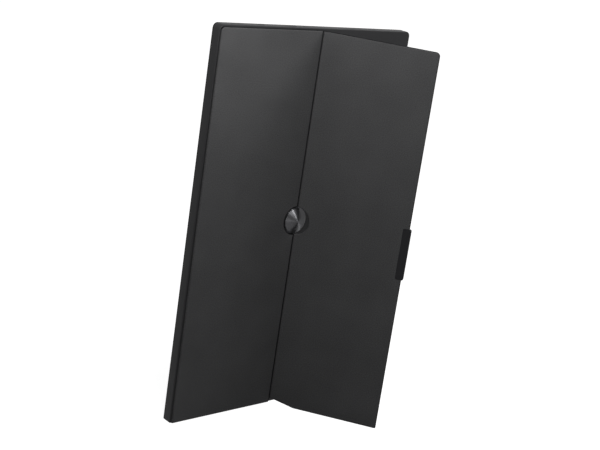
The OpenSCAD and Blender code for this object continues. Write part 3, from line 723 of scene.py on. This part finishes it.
# The housing as a tray: from the boss hole out over the back, round the back edge by a quarter circle, along
# the side wall to the seam and back inside. Mouths, feet and screw holes are then cut out.
def makeHousing():
    rounding, seam, wall = housing["edgeRound"], housing["seam"], housing["wall"]
    outer = backLoop(rounding + 0.5 * mm)
    boss = circleFacing(outer, holeCentre, housing["boss"])
    rings = [atY(boss + share * (outer - boss), backY) for share in (0, 0.02, 0.5, 1)]
    rings += [atY(backLoop(inset), backY + depth) for inset, depth in quarterRound(rounding, 8)]
    rings += [atY(housingLoop(inset), y) for inset, y in
              [(0, lipY - seam), (seam, lipY), (wall, lipY), (wall, housing["inner"])]]
    inner = housingLoop(wall)
    rings += [atY(inner + share * (boss - inner), housing["inner"]) for share in (0.5, 1)]
    piece = makePiece("rearHousing", [shell(rings, closed=True)], finish["casing_plastic"])
    portCentre = np.array([portX, housing["portY"]])
    portLow, portHigh = portCentre - housing["portHalf"], portCentre + housing["portHalf"]
    buttonCentre, slotCentre = (buttonX, housing["portY"]), (slotX, housing["portY"])
    below, above = topZ - 2 * wall, topZ + wall
    top = [prism([atZ(plateLoop(portLow, portHigh, (1.1 * mm,) * 4, 0, 4), z) for z in (below, above)]),
           prism([atZ(slotLoop(buttonCentre, *housing["buttonHole"]), z) for z in (below, above)]),
           prism([atZ(slotLoop(slotCentre, *housing["slot"]), z) for z in (below, above)])]
    feet = []
    reach = housing["footHalf"] + 0.05 * mm
    for z in housing["footZ"]:
        loop = plateLoop((-2.55 * mm, z - reach), (1.55 * mm, z + reach), (2 * mm,) * 4, 0, 6)
        feet.append(prism([atX(loop, x) for x in (sideX - 0.7 * mm, sideX + mm)]))
    screws = []
    for place in screwPlaces():
        steps = [(2.3, backY - mm), (2.3, backY + 0.6 * mm), (1.1, backY + 0.6 * mm), (1.1, backY + 2 * mm)]
        screws.append(prism([atY(circleLoop(place, radius * mm, 40), y) for radius, y in steps]))
    cutAway(piece, top + feet + screws)
    settle(piece, "monitor", "casing_plastic", "rear_housing")


makeHousing()
print("rear housing made")

bezel = {
    "windowLow": (-102.8 * mm, 18.6 * mm), "windowHigh": (91.3 * mm, 363.4 * mm),
    "windowRadii": (0.6 * mm,) * 4,
    "edgeRound": 0.7 * mm,
    "windowBevel": 0.35 * mm,
    "lightX": (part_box("light_pipe")[0].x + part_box("light_pipe")[1].x) / 2,
    "lightZ": (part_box("light_pipe")[0].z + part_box("light_pipe")[1].z) / 2,
}


# Outline of the window in front of the screen
def windowLoop(inset):
    return plateLoop(bezel["windowLow"], bezel["windowHigh"], bezel["windowRadii"], inset, 14)


# The front frame: its face between window and outline, a quarter circle at the outer edge and a bevel at the
# window. Room for the button and ports, and the light's hole, are then cut out.
def makeBezel():
    seam, bevel = housing["seam"], bezel["windowBevel"]
    faceOuter, faceWindow = housingLoop(bezel["edgeRound"] + 0.4 * mm), windowLoop(-bevel - 0.3 * mm)
    rings = [atY(faceWindow + share * (faceOuter - faceWindow), frontY) for share in (0, 0.5, 1)]
    rings += [atY(housingLoop(inset), frontY - depth) for inset, depth in quarterRound(bezel["edgeRound"], 6)]
    rings += [atY(housingLoop(0), lipY + seam), atY(housingLoop(seam), lipY), atY(windowLoop(0), lipY),
              atY(windowLoop(0), frontY - bevel), atY(windowLoop(-bevel), frontY)]
    piece = makePiece("frontBezel", [shell(rings, closed=True)], finish["bezel_plastic"])
    light = (bezel["lightX"], bezel["lightZ"])
    room = plateLoop((buttonX - 14 * mm, topZ - 6 * mm), (portX + 12 * mm, topZ), (0.1 * mm,) * 4, 0, 1, 1)
    cutAway(piece, [prism([atY(circleLoop(light, 1.25 * mm, 32), y) for y in (lipY - mm, frontY + mm)]),
                    prism([atY(room, y) for y in (lipY - 3 * mm, lipY - 0.01 * mm)])])
    settle(piece, "monitor", "bezel_plastic", "front_bezel")


makeBezel()
print("front bezel made")


# The glass cell, with slightly chamfered faces and a fine ridge where its two sheets meet
def makeScreen():
    low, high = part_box("lcd_cell")
    corners = (low.x, low.z), (high.x, high.z)
    middle = (low.y + high.y) / 2
    profile = [(0.15, low.y), (0, low.y + 0.15 * mm), (0, middle - 0.06 * mm), (0.06, middle),
               (0, middle + 0.06 * mm), (0, high.y - 0.15 * mm), (0.15, high.y)]
    rings = [atY(plateLoop(*corners, (0.6 * mm,) * 4, inset * mm), y) for inset, y in profile]
    piece = makePiece("screenGlass", [shell(rings)], finish["screen_glass"])
    settle(piece, "monitor", "screen_glass", "lcd_cell")


makeScreen()


# Two rubber strips whose outer edge is drawn in step by step
def makeFeet():
    low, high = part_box("edge_feet")
    solids = []
    profile = [(0, low.x), (0, high.x - 0.35 * mm), (0.1, high.x - 0.15 * mm), (0.4, high.x - 0.03 * mm),
               (0.9, high.x)]
    for z in housing["footZ"]:
        corners = (low.y, z - housing["footHalf"]), (high.y, z + housing["footHalf"])
        rings = [atX(plateLoop(*corners, (1.95 * mm,) * 4, inset * mm, 6), x) for inset, x in profile]
        solids.append(shell(rings))
    settle(makePiece("edgeFeet", solids, finish["foot_rubber"]), "monitor", "foot_rubber", "edge_feet")


makeFeet()

button = {"length": 14 * mm, "width": 2.2 * mm, "edge": 0.3 * mm, "flange": 0.6 * mm, "crown": 0.08 * mm}


# The button: a flange, a slot-shaped stem, a quarter circle round its top and a slight crown
def makeButton():
    centre = (buttonX, housing["portY"])
    low, high = buttonLow.z, buttonHigh.z
    flange = [(-0.2, low), (-0.2, low + button["flange"])]
    rings = [atZ(slotLoop(centre, button["length"], button["width"], inset * mm), z) for inset, z in flange]
    rings += [atZ(slotLoop(centre, button["length"], button["width"]), low + button["flange"])]
    rings += [atZ(slotLoop(centre, button["length"], button["width"], inset), high - button["crown"] - depth)
              for inset, depth in quarterRound(button["edge"])[::-1]]
    rings += [atZ(slotLoop(centre, button["length"], button["width"], 0.8 * mm), high)]
    settle(makePiece("powerButton", [shell(rings)], finish["casing_plastic"]), "power_key", "casing_plastic",
           "power_button")


makeButton()
print("screen, feet and button made")

tab = {
    "left": 105.8 * mm, "right": 114 * mm, "low": 157.75 * mm, "high": 209.25 * mm,
    "radius": 1.7 * mm, "proud": 0.25 * mm, "edge": 0.3 * mm, "leg": 0.5 * mm,
}


# The tab: a leg on the flap's face with a quarter circle round it, and a lip over the free edge
def makeTab():
    low, high = (tab["left"], tab["low"]), (tab["right"], tab["high"])
    radii = (tab["radius"],) * 4
    leg = [onFlap(plateLoop(low, high, radii, inset, 8), depth - tab["proud"])
           for inset, depth in [(1.2 * mm, 0)] + quarterRound(tab["edge"], 5)]
    leg.append(onFlap(plateLoop(low, high, radii, 0, 8), tab["leg"]))
    lipLow = (cover["right"] + 0.03 * mm, tab["low"])
    lipRadii = (0.2 * mm, tab["radius"], tab["radius"], 0.2 * mm)
    lip = [onFlap(plateLoop(lipLow, high, lipRadii, inset, 8), depth) for inset, depth in
           [(0.02 * mm, 0.3 * mm), (0.02 * mm, cover["depth"] - 0.4 * mm),
            (0.15 * mm, cover["depth"] - 0.12 * mm), (0.4 * mm, cover["depth"])]]
    piece = makePiece("gripTab", [shell(leg), shell(lip)], finish["tab_rubber"])
    settle(piece, "flap", "tab_rubber", "grip_tab")


makeTab()

disc = {
    "radius": 12.7 * mm, "rimEdge": 0.45 * mm, "bore": 4.02 * mm, "boreDepth": 3 * mm, "segments": 160,
    "back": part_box("lock_disc")[1].y, "apex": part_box("lock_disc")[0].y, "rim": foldY - 0.3 * mm,
}


# A solid of revolution about the line through the disc's centre along Y: the profile's radius and y are
# carried round in even steps, and the first and last profile points lie on the axis as single points
def lathe(profile, segments):
    turn = np.linspace(0, 2 * math.pi, segments, endpoint=False)
    inner = profile[1:-1]
    rings = np.stack([np.stack([r * np.cos(turn), np.full(segments, y), discZ + r * np.sin(turn)], 1)
                      for r, y in inner])
    points = np.concatenate([rings.reshape(-1, 3), [[0, profile[0][1], discZ], [0, profile[-1][1], discZ]]])
    quads = gridQuads(len(inner), segments)
    ring, following = np.arange(segments), (np.arange(segments) + 1) % segments
    last = (len(inner) - 1) * segments
    start = np.stack([np.full(segments, len(points) - 2), following, ring], 1)
    end = np.stack([np.full(segments, len(points) - 1), last + ring, last + following], 1)
    return points, quads.tolist() + start.tolist() + end.tolist()


# The disc: a spherical cap whose radius is (r^2 + h^2) / 2h for a disc of radius r that rises by h, a quarter
# circle at its rim, and a bore in its back for the stem
def makeDisc():
    rise = disc["rim"] - disc["apex"]
    sphere = (disc["radius"] ** 2 + rise ** 2) / (2 * rise)
    edge = disc["radius"] - disc["rimEdge"]
    domeR = np.linspace(edge, 0, 42)
    domeY = disc["apex"] + sphere - np.sqrt(sphere ** 2 - domeR ** 2)
    corner = [(disc["radius"] - depth, domeY[0] + inset + 0.12 * mm)
              for inset, depth in quarterRound(disc["rimEdge"], 5)]
    back = disc["back"]
    profile = [(0, back - disc["boreDepth"]), (disc["bore"], back - disc["boreDepth"]), (disc["bore"], back),
               (disc["radius"] - 0.3 * mm, back), (disc["radius"], back - 0.3 * mm)]
    profile += corner[::-1] if corner[0][1] < corner[-1][1] else corner
    profile += list(zip(domeR, domeY))
    points, faces = lathe(profile, disc["segments"])
    piece = makePiece("lockDisc", [(points, faces)], finish["disc_metal"], 50)
    settle(piece, "lock", "disc_metal", "lock_disc")


makeDisc()
print("tab and disc made")


# The port's steel shell: outline up the outside, over the rim and down inside to a floor
def makePortShell():
    low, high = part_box("port_shell")
    wall, floor = 0.25 * mm, 0.6 * mm
    high.z -= 0.45 * mm  # the mouth lies a little below the housing's edge
    corners, radii = ((low.x, low.y), (high.x, high.y)), (1.0 * mm,) * 4
    profile = [(0.1 * mm, low.z), (0, low.z + 0.1 * mm), (0, high.z - 0.08 * mm), (0.08 * mm, high.z),
               (wall - 0.06 * mm, high.z), (wall, high.z - 0.1 * mm), (wall, low.z + floor)]
    rings = [atZ(plateLoop(*corners, radii, inset, 6, 5), z) for inset, z in profile]
    piece = makePiece("portShell", [shell(rings)], finish["bare_steel"])
    settle(piece, "monitor", "bare_steel", "port_shell")


makePortShell()

view = {
    "azimuth": -45.92, "elevation": 15.17, "roll": 9.51,  # degrees
    "distance": 1.3093, "aim": (0.1230, 0.0, 0.1910), "lens": 75.2, "shift": (-0.1333, -0.0217),
}


# The camera stands off its aim along the direction given by azimuth and elevation, looks at it, and is
# then turned about its line of sight by the roll
def makeCamera():
    azimuth, elevation = math.radians(view["azimuth"]), math.radians(view["elevation"])
    away = Vector((math.sin(azimuth) * math.cos(elevation), -math.cos(azimuth) * math.cos(elevation),
                   math.sin(elevation)))
    data = bpy.data.cameras.new("camera")
    data.lens, data.sensor_width = view["lens"], 36
    data.shift_x, data.shift_y = view["shift"]
    camera = bpy.data.objects.new("camera", data)
    bpy.context.scene.collection.objects.link(camera)
    facing = away.to_track_quat("Z", "Y").to_matrix().to_4x4()
    roll = Matrix.Rotation(math.radians(view["roll"]), 4, "Z")
    camera.matrix_world = Matrix.Translation(Vector(view["aim"]) + view["distance"] * away) @ facing @ roll
    bpy.context.scene.camera = camera


lamps = {
    "top": {"place": (-0.18, -0.19, 0.51), "aim": (-0.02, 0, 0.2), "size": 0.12, "power": 1.24},
    "low": {"place": (-0.15, -0.35, 0.15), "aim": (-0.02, 0, 0.2), "size": 0.12, "power": 0.19},
    "right": {"place": (0.45, -0.30, 0.75), "aim": (-0.02, 0, 0.2), "size": 0.3, "power": 3.95},
    "front": {"place": (-0.9, 0.4, 0.7), "aim": (-0.02, 0, 0.2), "size": 0.4, "power": 1.4},
}


# A narrow beam that light linking keeps on the lock disc alone. It draws the bright bow across the disc's
# turned rings. Its level there is about 0.7 of white.
beam = {"place": (0.06, -0.39, 0.50), "angle": 3.4, "soft": 0.2, "radius": 0.004, "power": 9}


# Puts a lamp at a place, facing its aim, and hides it from the camera
def placeLamp(light, place, aim):
    bpy.context.scene.collection.objects.link(light)
    light.visible_camera = False
    turned = (Vector(place) - Vector(aim)).to_track_quat("Z", "Y").to_matrix().to_4x4()
    light.matrix_world = Matrix.Translation(Vector(place)) @ turned


# Four round area lamps for the whole object, and the beam for the disc
def makeLamps():
    for name, lamp in lamps.items():
        data = bpy.data.lights.new(name, "AREA")
        data.shape, data.size, data.energy = "DISK", lamp["size"], lamp["power"]
        placeLamp(bpy.data.objects.new(name, data), lamp["place"], lamp["aim"])
    data = bpy.data.lights.new("beam", "SPOT")
    data.spot_size, data.spot_blend = math.radians(beam["angle"]), beam["soft"]
    data.shadow_soft_size, data.energy = beam["radius"], beam["power"]
    light = bpy.data.objects.new("beam", data)
    placeLamp(light, beam["place"], (0, foldY, discZ))
    lit = bpy.data.collections.new("beam")
    lit.objects.link(bpy.data.objects["lockDisc"])
    light.light_linking.receiver_collection = lit


# 1 for rays that see the background straight, in a reflection or through something clear
def seenRays(tree):
    path = addNode(tree, "LightPath")
    either = joined(tree, "MAXIMUM", path.outputs["Is Camera Ray"], path.outputs["Is Glossy Ray"])
    return joined(tree, "MAXIMUM", either, path.outputs["Is Transmission Ray"])


# Plain ambient light with white behind it, and a floor that keeps the shadow and glows to white only for rays
# that see it, a little less near the object than further away
def makeStage():
    world = bpy.data.worlds.new("world")
    bpy.context.scene.world = world
    world.use_nodes = True
    tree = world.node_tree
    ambient = tree.nodes["Background"]
    ambient.inputs["Color"].default_value = (0.95, 0.97, 1.0, 1)
    ambient.inputs["Strength"].default_value = 0.05
    white = addNode(tree, "Background", Strength=1.0)
    white.inputs["Color"].default_value = (1, 1, 1, 1)
    choose = addNode(tree, "MixShader")
    tree.links.new(seenRays(tree), choose.inputs["Fac"])
    tree.links.new(ambient.outputs[0], choose.inputs[1])
    tree.links.new(white.outputs[0], choose.inputs[2])
    tree.links.new(choose.outputs[0], tree.nodes["World Output"].inputs["Surface"])
    half = 6.0
    mesh = bpy.data.meshes.new("floor")
    corners = [(-half, -half, 0), (half, -half, 0), (half, half, 0), (-half, half, 0)]
    mesh.from_pydata(corners, [], [(0, 1, 2, 3)])
    floor = bpy.data.objects.new("floor", mesh)
    bpy.context.scene.collection.objects.link(floor)
    material = bpy.data.materials.new("floor")
    material.use_nodes = True
    tree = material.node_tree
    shader = tree.nodes["Principled BSDF"]
    shader.inputs["Base Color"].default_value = (0.4, 0.4, 0.4, 1)
    shader.inputs["Roughness"].default_value = 0.9
    away = addNode(tree, "VectorMath", {"operation": "LENGTH"})  # from the object's foot
    tree.links.new(addNode(tree, "TexCoord").outputs["Object"], away.inputs[0])
    glow = addNode(tree, "Emission")
    level = mapped(tree, away.outputs["Value"], 0.25, 1.0, 0.92, 1.0)
    tree.links.new(joined(tree, "MULTIPLY", seenRays(tree), level), glow.inputs["Strength"])
    blend = addNode(tree, "AddShader")
    tree.links.new(shader.outputs[0], blend.inputs[0])
    tree.links.new(glow.outputs[0], blend.inputs[1])
    tree.links.new(blend.outputs[0], tree.nodes["Material Output"].inputs["Surface"])
    mesh.materials.append(material)


makeCamera()
makeLamps()
makeStage()
bpy.context.scene.view_settings.view_transform = "Standard"
print("camera, lamps and floor made")
